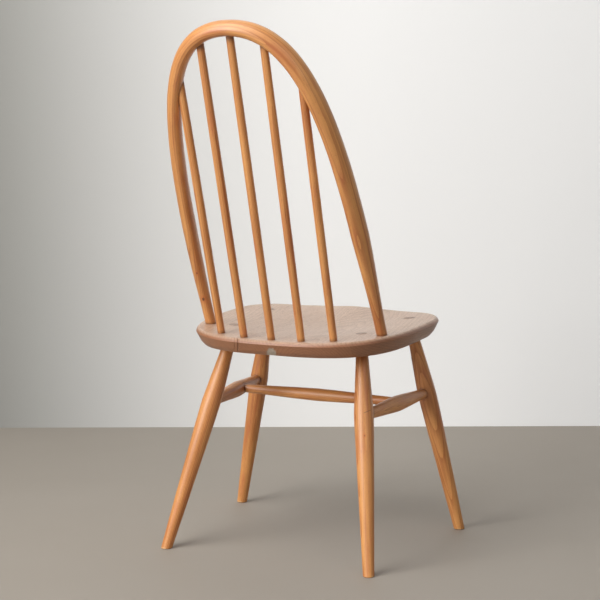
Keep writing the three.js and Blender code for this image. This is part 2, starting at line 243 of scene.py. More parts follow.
# Lights: place to the right of, ahead of and above the target, then size, power and colour
LIGHT_TARGET = (0, 0, 0.5)
LIGHTS = {
    "window": ((-3.3, -2.6, 1.3), (2.2, 1.9), 130, (1.0, 0.985, 0.96)),
    "upper": ((-1.3, -0.9, 2.3), (2.4, 2.4), 64, (1, 1, 1)),
    "fill": ((1.5, -2.4, 1.6), (2.0, 2.0), 13, (1, 1, 1)),
}
WORLD_COLOUR = (0.95, 0.97, 1.0, 1)
WORLD_STRENGTH = 0.17

SIDES = {"left": 1, "right": -1}
draw = random.Random(SEED)
OFFSET = np.array([0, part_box("seat")[0].y - (SEAT_WIDEST_Y - SEAT_FRONT_REACH), 0])


def srgb(red, green, blue):
    """A colour given as it looks on screen, as the shader's linear value."""
    linear = []
    for value in (red / 255, green / 255, blue / 255):
        linear.append(value / 12.92 if value <= 0.04045 else ((value + 0.055) / 1.055) ** 2.4)
    return (*linear, 1.0)


def smoothstep(value, low, high):
    share = np.clip((value - low) / (high - low), 0, 1)
    return share * share * (3 - 2 * share)


def lerp(first, second, share):
    return first + (second - first) * share


def unit(vector):
    return vector / np.linalg.norm(vector, axis=-1, keepdims=True)


def in_frame(place):
    """A place moved into the frame of the solids."""
    return [place[k] + OFFSET[k] for k in range(3)]


# Meshes

def skin(rings):
    """Points and faces of a closed body through rings of points, with a fan over each end."""
    count, sides, _ = rings.shape
    here = np.arange(count * sides).reshape(count, sides)
    beside = np.roll(here, -1, axis=1)
    quads = np.stack([here[:-1], beside[:-1], beside[1:], here[1:]], axis=-1).reshape(-1, 4).tolist()
    first = count * sides
    fans = [[first, b, a] for a, b in zip(here[0].tolist(), beside[0].tolist())]
    fans += [[first + 1, a, b] for a, b in zip(here[-1].tolist(), beside[-1].tolist())]
    points = np.concatenate([rings.reshape(-1, 3), rings[[0, -1]].mean(axis=1)])
    return points, quads + fans


def end_values(values):
    """Values of the ring points, with one more for the middle of each end."""
    width = values.shape[2:]
    ends = values[[0, -1]].mean(axis=1)
    return np.concatenate([values.reshape(-1, *width), ends])


def add_piece(node, points, faces, grain, grime_and_shade, material):
    """A finished piece that stands for a solid, with its grain, and its grime and painted shade, on the
    points.
    """
    name = node + "_wood"
    mesh = bpy.data.meshes.new(name)
    mesh.from_pydata((points + OFFSET).tolist(), [], faces)
    mesh.polygons.foreach_set("use_smooth", [True] * len(mesh.polygons))
    mesh.set_sharp_from_angle(angle=SHARP_ANGLE)
    layer = mesh.attributes.new("grain", "FLOAT_VECTOR", "POINT")
    layer.data.foreach_set("vector", grain.astype(np.float32).ravel())
    layer = mesh.attributes.new("grime_and_shade", "FLOAT", "POINT")
    layer.data.foreach_set("value", grime_and_shade.astype(np.float32))
    mesh.materials.append(material)
    piece = bpy.data.objects.new(name, mesh)
    bpy.context.scene.collection.objects.link(piece)
    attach(piece, "root")
    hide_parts(node)
    return piece


def grain_start():
    """Where in its own plank a piece was cut: off the heart of the tree, at a random length."""
    turn = draw.uniform(0, 2 * math.pi)
    far = draw.uniform(*PLANK_OFF_HEART)
    return np.array([far * math.cos(turn), far * math.sin(turn), draw.uniform(0, PLANK_LENGTH)])


# Grime and painted shade gather where pieces meet

def rod_distance(start, end, radius):
    """A function giving how far points lie from the surface of a straight rod with round ends."""
    length = np.linalg.norm(end - start)
    axis = unit(end - start)

    def distance(points):
        along = np.clip((points - start) @ axis, 0, length)
        return np.linalg.norm(points - start - along[:, None] * axis, axis=1) - radius

    return distance


def seat_distance(points):
    """How far points lie above or below the seat."""
    x, y, z = points.T
    return np.maximum(z - seat_top(x, y), seat_underside(y) - z)


# Darkness that fades with distance from each contact: partly grime, partly painted shade between the pieces
def gather_grime_and_shade(points, contacts, width):
    grime_and_shade = np.zeros(len(points))
    for contact in contacts:
        away = np.maximum(contact(points), 0) / width
        grime_and_shade = np.maximum(grime_and_shade, np.exp(-away * away))
    return grime_and_shade


# Seat

def seat_reach(angle):
    across = np.abs(np.cos(angle))
    along = np.sin(angle)
    power = np.where(along > 0, SEAT_REAR_POWER, SEAT_FRONT_POWER)
    reach = np.where(along > 0, SEAT_REAR_REACH, SEAT_FRONT_REACH)
    total = (across / SEAT_HALF_WIDTH) ** power + (np.abs(along) / reach) ** power
    return total ** (-1 / power)


def seat_top(x, y):
    share = (x / DISH_HALF_WIDTH) ** 2 + ((y - DISH_Y) / DISH_HALF_LENGTH) ** 2
    dish = DISH_DEPTH * np.maximum(0, 1 - share) ** 1.5
    ridge = RIDGE_HEIGHT * np.exp(-(x / RIDGE_HALF_WIDTH) ** 2)
    hollow = THIGH_DEPTH * np.exp(-((np.abs(x) - THIGH_X) / THIGH_HALF_WIDTH) ** 2)
    saddle = (ridge - hollow) * smoothstep(-y, -SADDLE_START_Y, -SADDLE_FULL_Y)
    level = SEAT_HEIGHT - SEAT_SLOPE * y + SEAT_SIDE_RISE * (x / SEAT_HALF_WIDTH) ** 2
    return level - dish + saddle


def seat_underside(y):
    return SEAT_HEIGHT - SEAT_SLOPE * y - SEAT_THICKNESS


def curve(start, corner, end, steps):
    share = np.linspace(0, 1, steps)[:, None]
    return (1 - share) ** 2 * start + 2 * share * (1 - share) * corner + share ** 2 * end


def seat_edge():
    """The seat's edge from the underside to the top, as inset and drop from its outer upper corner."""
    under = np.array([SEAT_BEVEL_INSET + 2 * SEAT_CORNER, SEAT_THICKNESS])
    low = np.array([SEAT_BEVEL_INSET, SEAT_THICKNESS])
    crease = np.array([SEAT_FACE_INSET, SEAT_FACE_DROP])
    high = np.array([0, SEAT_ROUND_DROP])
    crest = np.array(SEAT_CREST)
    lip = np.array([SEAT_ROUND_INSET, 0])
    bevel = unit(crease - low)
    face = unit(high - crease)
    slope = unit(crest - high)
    parts = [
        curve(lerp(low, under, 0.5), low, low + SEAT_CORNER * bevel, CORNER_STEPS),
        np.linspace(low + 2 * SEAT_CORNER * bevel, crease - 2 * SEAT_CORNER * bevel, CORNER_STEPS),
        curve(crease - SEAT_CORNER * bevel, crease, crease + SEAT_CORNER * face, CORNER_STEPS),
        np.linspace(crease + 2 * SEAT_CORNER * face, high - 2 * SEAT_ARRIS * face, FACE_STEPS),
        curve(high - SEAT_ARRIS * face, high, high + SEAT_ARRIS * slope, ARRIS_STEPS),
        curve(high + 2 * SEAT_ARRIS * slope, crest, lip, FACE_STEPS),
    ]
    return np.concatenate(parts)


def seat_angles():
    """Directions of the seat's ribs, closer together where the rear edge is split and chipped."""
    even = np.linspace(0, 2 * math.pi, SEAT_SIDES, endpoint=False)
    split = np.radians(np.arange(*SPLIT_RIBS))
    chip = np.radians(np.arange(*CHIP_RIBS))
    return np.unique(np.concatenate([even, split, chip]).round(6))


def seat_rings():
    """The seat's surface, ring by ring from the middle of the underside to the middle of the top."""
    angles = seat_angles()
    reach = seat_reach(angles)
    edge = seat_edge()
    inner = reach - edge[0, 0]
    flat = reach - edge[-1, 0]
    plan = [(inner * share, 1.0) for share in np.linspace(*SEAT_UNDER_RINGS)]
    plan += [(reach - inset, drop / SEAT_THICKNESS) for inset, drop in edge]
    plan += [(flat * share, 0.0) for share in np.linspace(*SEAT_TOP_RINGS)]
    rings = []
    for radius, depth in plan:
        x = radius * np.cos(angles)
        y = SEAT_WIDEST_Y + radius * np.sin(angles)
        rings.append(np.stack([x, y, lerp(seat_top(x, y), seat_underside(y), depth)], axis=-1))
    return np.array(rings)


def ring_normals(rings):
    around = np.roll(rings, -1, axis=1) - np.roll(rings, 1, axis=1)
    across = np.gradient(rings, axis=0)
    return unit(np.cross(around, across) + 1e-15)


def split_masks(rings):
    """How deep the splits are and how dark they have gone, over the seat's surface."""
    x, y, z = np.moveaxis(rings, -1, 0)
    along = x + EDGE_SLANT * (y - EDGE_Y)
    depth = np.zeros(x.shape)
    stain = np.zeros(x.shape)
    slow, quick = SPLIT_WAVES
    for middle, width, deep, dark in SPLITS:
        wander = SPLIT_WANDER[0] * np.sin(slow * z + quick * middle) + SPLIT_WANDER[1] * np.sin(quick * z)
        opened = smoothstep(y, SPLIT_START_Y, SPLIT_START_Y + SPLIT_FADE)
        share = opened * np.exp(-((along - middle - wander) / width) ** 2)
        depth = np.maximum(depth, deep * share)
        stain = np.maximum(stain, dark * share)
    return depth, stain


def chip_mask(rings):
    """Where the chip is, over the seat's surface."""
    x, y, z = np.moveaxis(rings, -1, 0)
    across = (x + EDGE_SLANT * (y - EDGE_Y) - CHIP_CENTRE[0]) / CHIP_HALF_SIZE[0]
    upward = (z - CHIP_CENTRE[1]) / CHIP_HALF_SIZE[1]
    ragged = sum(size * np.sin(level * x + steep * z) for size, level, steep in CHIP_RAGGED)
    share = across ** 2 + upward ** 2 + ragged
    return smoothstep(-share, -CHIP_RIM[0], -CHIP_RIM[1]) * smoothstep(y, *CHIP_EDGE_Y)


def add_seat(material):
    rings = seat_rings()
    normals = ring_normals(rings)
    depth, stain = split_masks(rings)
    chip = chip_mask(rings)
    dents = [noise.noise(Vector(point) * DENT_SCALE) for point in rings.reshape(-1, 3)]
    inward = depth + chip * CHIP_DEPTH + DENT_DEPTH * np.array(dents).reshape(depth.shape)
    rings = rings - normals * inward[..., None]
    points, faces = skin(rings)
    contacts = [rod_distance(low, high, SPINDLE_RADII[0]) for low, high in spindle_lines().values()]
    for side in SIDES.values():
        tenon = [bow_point(side * BOW_FOOT[0], rise) for rise in (-2 * SEAT_THICKNESS, SEAT_THICKNESS)]
        contacts.append(rod_distance(*tenon, BOW_TENON_RADIUS))
        for end in FOOT_X:
            foot, socket = leg_line(end, side)
            contacts.append(rod_distance(foot, lerp(foot, socket, TENON_REACH[end]), LEG_NECK_RADIUS))
    # Painted shade and grime round the spindles and the tenons, then the stain in the splits
    grime_and_shade = SEAT_GRIME_AND_SHADE * gather_grime_and_shade(points, contacts, SEAT_GRIME_AND_SHADE_WIDTH)
    grime_and_shade = np.maximum(grime_and_shade, end_values(stain[..., None])[:, 0])
    grain = points[:, [0, 2, 1]]
    piece = add_piece("seat", points, faces, grain, grime_and_shade, material)
    layer = piece.data.attributes.new("chip", "FLOAT", "POINT")
    layer.data.foreach_set("value", end_values(chip[..., None])[:, 0].astype(np.float32))


# Turned pieces

def round_section(axis, radii, sides):
    """Offsets of round sections across an axis, and the two directions they are measured in."""
    lying = abs(axis[2]) < 0.9
    first = unit(np.cross(axis, [0.3, 0.2, 1.0] if lying else [1.0, 0.2, 0.1]))
    second = np.cross(axis, first)
    turn = np.linspace(0, 2 * math.pi, sides, endpoint=False)[None, :, None]
    return radii[:, None, None] * (np.cos(turn) * first + np.sin(turn) * second), first, second


def hand_turned(radii, along):
    """Radii with the slow unevenness of turning and sanding by hand."""
    phase = draw.uniform(0, TURNING_PHASE)
    (slow, slow_rate), (quick, quick_rate) = TURNING_WAVES
    slow_wave = slow * np.sin(along * slow_rate + phase)
    quick_wave = quick * np.sin(along * quick_rate + 2 * phase)
    return radii * (1 + slow_wave + quick_wave)


def add_turned(node, start, rings, axes, grime_and_shade, material):
    axis, first, second = axes
    points, faces = skin(rings)
    offset = points - start
    grain = np.stack([offset @ first, offset @ second, offset @ axis], axis=-1) + grain_start()
    add_piece(node, points, faces, grain, grime_and_shade(points), material)


def swelling(radii, share):
    return lerp(radii[0], radii[1], np.sin(math.pi * share))


def fall(share):
    """How far a taper has fallen from its belly, 0, to its end, 1."""
    rounded = np.hypot(share, BELLY_ROUNDING) - BELLY_ROUNDING
    return rounded / (np.hypot(1, BELLY_ROUNDING) - BELLY_ROUNDING)


def tapering(radii, share):
    return lerp(radii[1], radii[0], fall(np.abs(2 * share - 1)))


def add_stick(node, start, end, profile, contacts, material):
    """A straight stick whose radius is given by a function of the share of its length."""
    length = np.linalg.norm(end - start)
    axis = unit(end - start)
    along = np.linspace(0, length, max(TURNED_LEAST, int(length / TURNED_STEP)))
    sections, first, second = round_section(axis, profile(along / length), TURNED_SIDES)
    sections = sections * hand_turned(np.ones(len(along)), along)[:, None, None]
    rings = start + along[:, None, None] * axis + sections

    # Painted shade and grime where the stick meets the other pieces
    def grime_and_shade(points):
        return gather_grime_and_shade(points, contacts, STICK_GRIME_AND_SHADE_WIDTH)

    add_turned(node, start, rings, (axis, first, second), grime_and_shade, material)


def leg_line(end, side):
    """Where a leg's axis meets the floor and the seat's underside."""
    foot_y = -FOOT_Y if end == "front" else FOOT_Y
    socket_y = SOCKET_Y[end]
    foot = np.array([side * FOOT_X[end], foot_y, 0])
    return foot, np.array([side * SOCKET_X[end], socket_y, seat_underside(socket_y)])


def leg_radius(height):
    below = height < LEG_BELLY_HEIGHT
    end_height = np.where(below, 0, SEAT_HEIGHT - SEAT_THICKNESS)
    end_radius = np.where(below, LEG_FOOT_RADIUS, LEG_NECK_RADIUS)
    share = (height - LEG_BELLY_HEIGHT) / (end_height - LEG_BELLY_HEIGHT)
    return lerp(LEG_BELLY_RADIUS, end_radius, fall(np.minimum(share, 1)))


def tenon_end(rings, axis, proud):
    """Slides a ring along its axis until it lies just above the seat's top."""
    short = seat_top(rings[:, 0], rings[:, 1]) + proud - rings[:, 2]
    return rings + (short / axis[2])[:, None] * axis


def add_leg(end, side_name, material):
    side = SIDES[side_name]
    foot, socket = leg_line(end, side)
    axis = unit(socket - foot)
    top = seat_top(socket[0], socket[1])
    height = np.concatenate([[0, FOOT_CHAMFER], np.linspace(LEG_FIRST_RING, top, int(top / TURNED_STEP))])
    radii = hand_turned(leg_radius(height), height)
    radii[0] -= FOOT_CHAMFER
    sections, first, second = round_section(axis, radii, TURNED_SIDES)
    sections = sections - axis * (sections[..., 2:] / axis[2])
    rings = foot + (height / axis[2])[:, None, None] * axis + sections
    rings[-1] = tenon_end(rings[-1], axis, TENON_PROUD)
    rail = rod_distance(rail_joint("rear", side), rail_joint("front", side), SIDE_RAIL_RADII[0])

    # Painted shade and grime where the leg meets its side stretcher and the seat
    def grime_and_shade(points):
        return gather_grime_and_shade(points, [rail, seat_distance], JOINT_GRIME_AND_SHADE_WIDTH)

    add_turned(f"leg_{end}_{side_name}", foot, rings, (axis, first, second), grime_and_shade, material)


def rail_joint(end, side):
    """Where a side stretcher's axis meets a leg's axis."""
    foot, socket = leg_line(end, side)
    return lerp(foot, socket, STRETCHER_HEIGHT[end] / socket[2])


def cross_joint(side):
    """Where the cross stretcher's axis meets a side stretcher's axis."""
    rear = rail_joint("rear", side)
    front = rail_joint("front", side)
    return lerp(rear, front, (CROSS_RAIL_Y - rear[1]) / (front[1] - rear[1]))


def side_rail(share):
    return tapering(SIDE_RAIL_RADII, share)


def cross_rail(share):
    return tapering(CROSS_RAIL_RADII, share)


def add_stretchers(material):
    cross_ends = [cross_joint(1), cross_joint(-1)]
    cross = rod_distance(*cross_ends, CROSS_RAIL_RADII[0])
    rails = []
    for name, side in SIDES.items():
        ends = [rail_joint("rear", side), rail_joint("front", side)]
        legs = [rod_distance(*leg_line(which, side), LEG_BELLY_RADIUS) for which in FOOT_X]
        add_stick(f"side_stretcher_{name}", *ends, side_rail, legs + [cross], material)
        rails.append(rod_distance(*ends, SIDE_RAIL_RADII[1]))
    add_stick("cross_stretcher", *cross_ends, cross_rail, rails, material)


# Bow and spindles

def bow_point(x, rise):
    """A point of the bow's plane, given across the chair and up the plane from the seat's top."""
    y = BOW_FOOT[1] + rise * math.sin(BOW_LEAN)
    z = seat_top(BOW_FOOT[0], BOW_FOOT[1]) + rise * math.cos(BOW_LEAN)
    return np.array([x, y, z])


def bow_half(share):
    """Points of the bow's left half from its foot to its crown."""
    share = np.asarray(share, float)[:, None]
    a, b, c, d = [bow_point(*corner) for corner in BOW_CURVE]
    rest = 1 - share
    return rest ** 3 * a + 3 * rest ** 2 * share * b + 3 * rest * share ** 2 * c + share ** 3 * d


def bow_over(x):
    """Where the bow's middle line passes a given distance from the chair's centre line."""
    half = bow_half(np.linspace(0, 1, BOW_SEARCH_STEPS))
    nearest = half[np.abs(half[:, 0] - abs(x)).argmin()]
    return nearest * np.array([1 if x >= 0 else -1, 1, 1])


def bow_path():
    """The bow's middle line from the left tenon's end to the right one's, evenly spaced."""
    half = bow_half(np.linspace(0, 1, BOW_HALF_STEPS))
    depth = SEAT_THICKNESS / math.cos(BOW_LEAN)
    tenon = [bow_point(BOW_FOOT[0], -depth * share) for share in np.linspace(*BOW_TENON_RINGS)]
    left = np.concatenate([tenon, half])
    whole = np.concatenate([left, left[-2::-1] * [-1, 1, 1]])
    walked = np.concatenate([[0], np.cumsum(np.linalg.norm(np.diff(whole, axis=0), axis=1))])
    even = np.linspace(0, walked[-1], int(walked[-1] / BOW_STEP))
    path = np.stack([np.interp(even, walked, whole[:, k]) for k in range(3)], axis=-1)
    return path, even, depth


def add_bow(material):
    path, walked, tenon = bow_path()
    tangent = unit(np.gradient(path, axis=0))
    rear = np.array([0, math.cos(BOW_LEAN), -math.sin(BOW_LEAN)])
    up = np.array([0, math.sin(BOW_LEAN), math.cos(BOW_LEAN)])
    inward = np.cross(tangent, rear)
    above = np.minimum(walked, walked[-1] - walked) - tenon
    full = smoothstep(above, 0, BOW_TAPER_LENGTH)
    wave = hand_turned(np.ones(len(walked)), walked)
    thick = lerp(BOW_TENON_RADIUS, BOW_HALF_THICKNESS, full) * wave
    deep = lerp(BOW_TENON_RADIUS, BOW_HALF_DEPTH, full) * wave
    twist = (BOW_TWIST * full * np.abs(tangent @ up))[:, None]
    turn = np.linspace(0, 2 * math.pi, BOW_SIDES, endpoint=False)
    across = thick[:, None] * np.cos(turn)
    back = deep[:, None] * np.sin(turn)
    inward_part = across * np.cos(twist) + back * np.sin(twist)
    rear_part = back * np.cos(twist) - across * np.sin(twist)
    rings = path[:, None] + inward_part[..., None] * inward[:, None] + rear_part[..., None] * rear
    for end in (0, -1):
        short = seat_underside(rings[end, :, 1]) - TENON_PROUD - rings[end, :, 2]
        rings[end] += (short / up[2])[:, None] * up
    along = np.broadcast_to(walked[:, None], across.shape)
    points, faces = skin(rings[:, ::-1])
    grain = end_values(np.stack([inward_part, rear_part, along], axis=-1)[:, ::-1]) + grain_start()
    contacts = [rod_distance(low, high, SPINDLE_RADII[0]) for low, high in spindle_lines().values()]
    high = points[:, 2] > SEAT_HEIGHT + BOW_GRIME_AND_SHADE_ABOVE
    # Painted shade and grime where the bow meets the spindles and the seat
    at_spindles = gather_grime_and_shade(points, contacts, JOINT_GRIME_AND_SHADE_WIDTH) * high
    at_seat = gather_grime_and_shade(points, [seat_distance], BOW_FOOT_GRIME_AND_SHADE_WIDTH)
    add_piece("bow", points, faces, grain, np.maximum(at_spindles, at_seat), material)


def spindle_lines():
    """Each spindle's axis, from the bottom of its socket to just before the bow's middle line."""
    lines = {}
    for name, (x, y, top_x) in SPINDLES.items():
        base = np.array([x, y, seat_top(x, y)])
        top = bow_over(top_x) - [0, SPINDLE_TOP_FORWARD, 0]
        lines[name] = (base + SPINDLE_SOCKET_DEPTH * unit(base - top), top)
    return lines


def spindle(share):
    return swelling(SPINDLE_RADII, share)


def add_spindles(material):
    for name, (low, high) in spindle_lines().items():
        def bow_distance(points, end=high):
            return np.linalg.norm(points - end, axis=1) - BOW_HALF_DEPTH

        add_stick(f"spindle_{name}", low, high, spindle, [seat_distance, bow_distance], material)


# Wedges

def add_wedge(node, end, direction, radius, trim, dark, material):
    """A thin wedge driven into a tenon from its end, widest at the head."""
    across = np.array([1.0, 0, 0])
    thin = unit(np.cross(direction, across))
    across = np.cross(thin, direction)
    half = radius - WEDGE_SIDE_GAP
    rings = []
    for share in np.linspace(0, 1, WEDGE_STEPS):
        thick = lerp(WEDGE_TIP, WEDGE_HEAD, share) / 2
        corner = np.linspace(-1, 1, WEDGE_STEPS)[:, None]
        lower = corner * half * across - thick * thin
        upper = -corner * half * across + thick * thin
        rings.append(end - (1 - share) * WEDGE_DEPTH * direction + np.concatenate([lower, upper]))
    rings = np.array(rings)
    rings[-1] = trim(rings[-1])
    points, faces = skin(rings)
    grain = points[:, [0, 2, 1]] + grain_start()
    add_piece(node, points, faces, grain, np.full(len(points), dark), material)


def top_trim(axis):
    """A function that slides a wedge's head along a leg until it is level with the seat's top."""
    def trim(ring):
        return tenon_end(ring, axis, WEDGE_PROUD)

    return trim


def under_trim(down):
    """A function that slides a wedge's head along a bow tenon until it is level with the underside."""
    def trim(ring):
        short = seat_underside(ring[:, 1]) - WEDGE_PROUD - ring[:, 2]
        return ring + (short / down[2])[:, None] * down

    return trim


def add_wedges(material):
    down = bow_point(0, -1) - bow_point(0, 0)
    for name, side in SIDES.items():
        for end in FOOT_X:
            foot, socket = leg_line(end, side)
            axis = unit(socket - foot)
            head = socket + axis * (seat_top(socket[0], socket[1]) - socket[2]) / axis[2]
            node = f"leg_wedge_{end}_{name}"
            add_wedge(node, head, axis, LEG_NECK_RADIUS, top_trim(axis), WEDGE_DARK[end], material)
        head = bow_point(side * BOW_FOOT[0], -SEAT_THICKNESS / math.cos(BOW_LEAN))
        dark = WEDGE_DARK["front"]
        add_wedge(f"bow_wedge_{name}", head, down, BOW_TENON_RADIUS, under_trim(down), dark, material)


# Materials

COAT_ROUGHNESS = 0.42
LACQUER_IOR = 1.5
RING_DRIFT = (14, 14, 1.6)
RING_SHARPNESS = 2.5

# Beech: ring spacing and wander, lumps a metre of each kind of figure, and colours
BEECH_RINGS = (0.0024, 0.012)
BEECH_LUMPS = {
    "streak": (160, 160, 5),
    "cloud": (22, 22, 5),
    "fleck": (1500, 1500, 210),
    "blush": (60, 60, 14),
    "gloss": (90, 90, 12),
    "knot": (700, 700, 400),
    "dirt_and_shade": (160, 160, 160),
    "scuff": (170, 170, 110),
}
BLUSH_SHIFT = (3.1, 1.7, 5.3)
BEECH_PALE = srgb(226, 160, 92)
BEECH_DARK = srgb(170, 95, 43)
KNOT_CORE = srgb(86, 34, 8)
# Colour of the grime and painted shade near the joints
BEECH_DIRT_AND_SHADE = srgb(92, 52, 28)
# Painted shade at the very bottom of each foot, where it meets the floor
FOOT_CONTACT_SHADE = srgb(84, 54, 36)

# Marks over the beech, as strength and colour
BLUSH = (0.45, srgb(190, 104, 62))
FLECK = (0.45, srgb(146, 82, 42))
KNOT_HALO = (0.5, srgb(206, 112, 54))
DARK_LINE = (0.6, srgb(104, 60, 40))
WORN_TENON = (0.75, srgb(196, 162, 134))
RUBBED_FOOT = (0.6, srgb(224, 186, 140))

# Where marks begin and where they are full: knots in half widths, the rest in metres of height
KNOT_HALO_EDGE = (3.4, 1.2)
KNOT_CORE_EDGE = (1.6, 0.7)
KNOT_RAGGED = 0.8
TENON_BAND = 0.02
RUBBED_HEIGHTS = (0.0185, 0.0115)
RUBBED_RAGGED = 0.03
FOOT_CONTACT_SHADE_HEIGHTS = (0.0016, 0.0003)
GLOSS_HEIGHTS = (0.02, 0.34)
BEECH_RELIEF = 0.00012

# Elm: start in the plank, glue joints with the shift of the grain beyond each, and figure as for the beech
ELM_START = (0.034, -0.315, 0.4)
ELM_JOINTS = (
    (-0.0125, "GREATER_THAN", (-0.06, 0.03, 1.7)),
    (0.128, "GREATER_THAN", (-0.11, -0.02, 0.9)),
    (-0.151, "LESS_THAN", (0.1, -0.03, 2.3)),
)
ELM_TILT = (0.05, -0.09)
ELM_RINGS = (0.0052, 0.018)
ELM_LUMPS = {
    "streak": (240, 240, 9),
    "pore": (1300, 1300, 75),
    "cloud": (16, 16, 4),
    "filler": (420, 420, 420),
    "gloss": (60, 60, 14),
}
ELM_COLOURS = (srgb(168, 113, 77), srgb(118, 72, 46))
# Paler colours for surfaces facing up, and their strength: partly wear, partly painted sheen and light
ELM_WORN_AND_SHEEN_COLOURS = (srgb(222, 196, 172), srgb(176, 144, 118))
ELM_WORN_AND_SHEEN = 0.66
FILLER_COLOURS = (srgb(196, 190, 178), srgb(150, 134, 116))
FILLER = 0.85
OPEN_PORE = (0.4, srgb(96, 60, 40))
# Grime and painted shade round the joints, and the stain in the splits, as strength and colour
ELM_GRIME_AND_SHADE = (0.75, srgb(58, 33, 22))
ELM_RELIEF = 0.00018
ELM_COAT = 0.75

# Wedges: ring spacing and wander, lumps a metre, and colours
WEDGE_RINGS = (0.0016, 0.01)
WEDGE_LUMPS = (900, 900, 900)
WEDGE_COLOURS = (srgb(194, 160, 132), srgb(168, 132, 104))
WEDGE_STAIN = srgb(112, 72, 48)
WEDGE_SPECK = (0.35, srgb(104, 68, 46))
WEDGE_RELIEF = 0.00008
WEDGE_COAT = 0.2

# Floor and wall: lumps a metre, colours and roughness
FLOOR_LUMPS = (2.5, 2.5, 2.5)
FLOOR_COLOURS = (srgb(153, 145, 134), srgb(160, 152, 142))
FLOOR_ROUGHNESS = 0.65
# The wall's painted shade colour, then its painted light colour
WALL_PAINTED_SHADE_AND_LIGHT_COLOURS = (srgb(108, 107, 99), srgb(234, 234, 233))
WALL_ROUGHNESS = 0.8


class Shader:
    """A node material, written as expressions that give sockets."""

    def __init__(self, name):
        self.material = bpy.data.materials.new(name)
        self.material.use_nodes = True
        self.tree = self.material.node_tree
        self.tree.nodes.clear()

    def feed(self, socket, value):
        if isinstance(value, bpy.types.NodeSocket):
            self.tree.links.new(value, socket)
        else:
            socket.default_value = value

    def node(self, kind, sockets=None, **settings):
        node = self.tree.nodes.new(kind)
        for key, value in settings.items():
            setattr(node, key, value)
        for key, value in (sockets or {}).items():
            self.feed(node.inputs[key], value)
        return node

    def math(self, operation, *values):
        node = self.node("ShaderNodeMath", dict(enumerate(values)), operation=operation)
        return node.outputs[0]

    def vector(self, operation, *values):
        node = self.node("ShaderNodeVectorMath", dict(enumerate(values)), operation=operation)
        return node.outputs["Value" if operation in ("LENGTH", "DOT_PRODUCT") else "Vector"]

    def part(self, vector, axis):
        return self.node("ShaderNodeSeparateXYZ", {0: vector}).outputs[axis]

    def place(self):
        return self.node("ShaderNodeTexCoord").outputs["Object"]

    def upward(self):
        """How squarely the surface faces up."""
        return self.part(self.node("ShaderNodeNewGeometry").outputs["Normal"], "Z")

    def attribute(self, name, output="Fac"):
        return self.node("ShaderNodeAttribute", attribute_name=name).outputs[output]

    def noise(self, place, stretch, detail=3.0, output="Fac"):
        """Noise with so many lumps a metre in each direction."""
        scaled = self.vector("MULTIPLY", place, stretch)
        sockets = {"Vector": scaled, "Scale": 1.0, "Detail": detail, "Roughness": 0.55}
        return self.node("ShaderNodeTexNoise", sockets).outputs[output]

    def ramp(self, value, low, high):
        sockets = {"Value": value, "From Min": low, "From Max": high}
        return self.node("ShaderNodeMapRange", sockets, interpolation_type="SMOOTHSTEP").outputs["Result"]

    def mix(self, share, first, second):
        node = self.node("ShaderNodeMix", {0: share, 6: first, 7: second}, data_type="RGBA")
        return node.outputs[2]

    def scale(self, value, factor):
        return self.math("MULTIPLY", value, factor)

    def add(self, first, second):
        return self.math("ADD", first, second)

    def tint(self, colour, mask, mark):
        """The colour with a mark over it, which is a strength and a colour."""
        strength, mark_colour = mark
        return self.mix(self.scale(mask, strength), colour, mark_colour)

    def show(self, surface):
        output = self.node("ShaderNodeOutputMaterial")
        self.tree.links.new(surface, output.inputs["Surface"])
        return self.material

    def rings(self, place, spacing, wander):
        """Growth rings round the grain's own axis: 0 in early wood, rising to 1 in late wood."""
        drift = self.noise(place, RING_DRIFT, 2.0, "Color")
        moved = self.vector("ADD", place, self.vector("MULTIPLY", drift, (wander, wander, 0)))
        flat = self.vector("MULTIPLY", moved, (1, 1, 0))
        phase = self.math("DIVIDE", self.vector("LENGTH", flat), spacing)
        return self.math("POWER", self.math("FRACT", phase), RING_SHARPNESS)

    def finish(self, colour, roughness, height, bump, coat):
        relief = self.node("ShaderNodeBump", {"Height": height, "Strength": 1.0, "Distance": bump})
        sockets = {
            "Base Color": colour,
            "Roughness": roughness,
            "Normal": relief.outputs["Normal"],
            "Coat Weight": coat,
            "Coat Roughness": COAT_ROUGHNESS,
            "IOR": LACQUER_IOR,
        }
        return self.show(self.node("ShaderNodeBsdfPrincipled", sockets).outputs["BSDF"])


def dark_line_mask(shader, place):
    """Where the dark line is: a thin sloping line inside a small ball round its middle."""
    offset = shader.vector("SUBTRACT", place, in_frame(DARK_LINE_PLACE))
    across = shader.math("ABSOLUTE", shader.vector("DOT_PRODUCT", offset, (DARK_LINE_SLOPE, 0, 1)))
    line = shader.ramp(across, 2 * DARK_LINE_HALF_WIDTH, 0.5 * DARK_LINE_HALF_WIDTH)
    near = shader.ramp(shader.vector("LENGTH", offset), DARK_LINE_HALF_LENGTH, 0.6 * DARK_LINE_HALF_LENGTH)
    return shader.math("MULTIPLY", line, near)


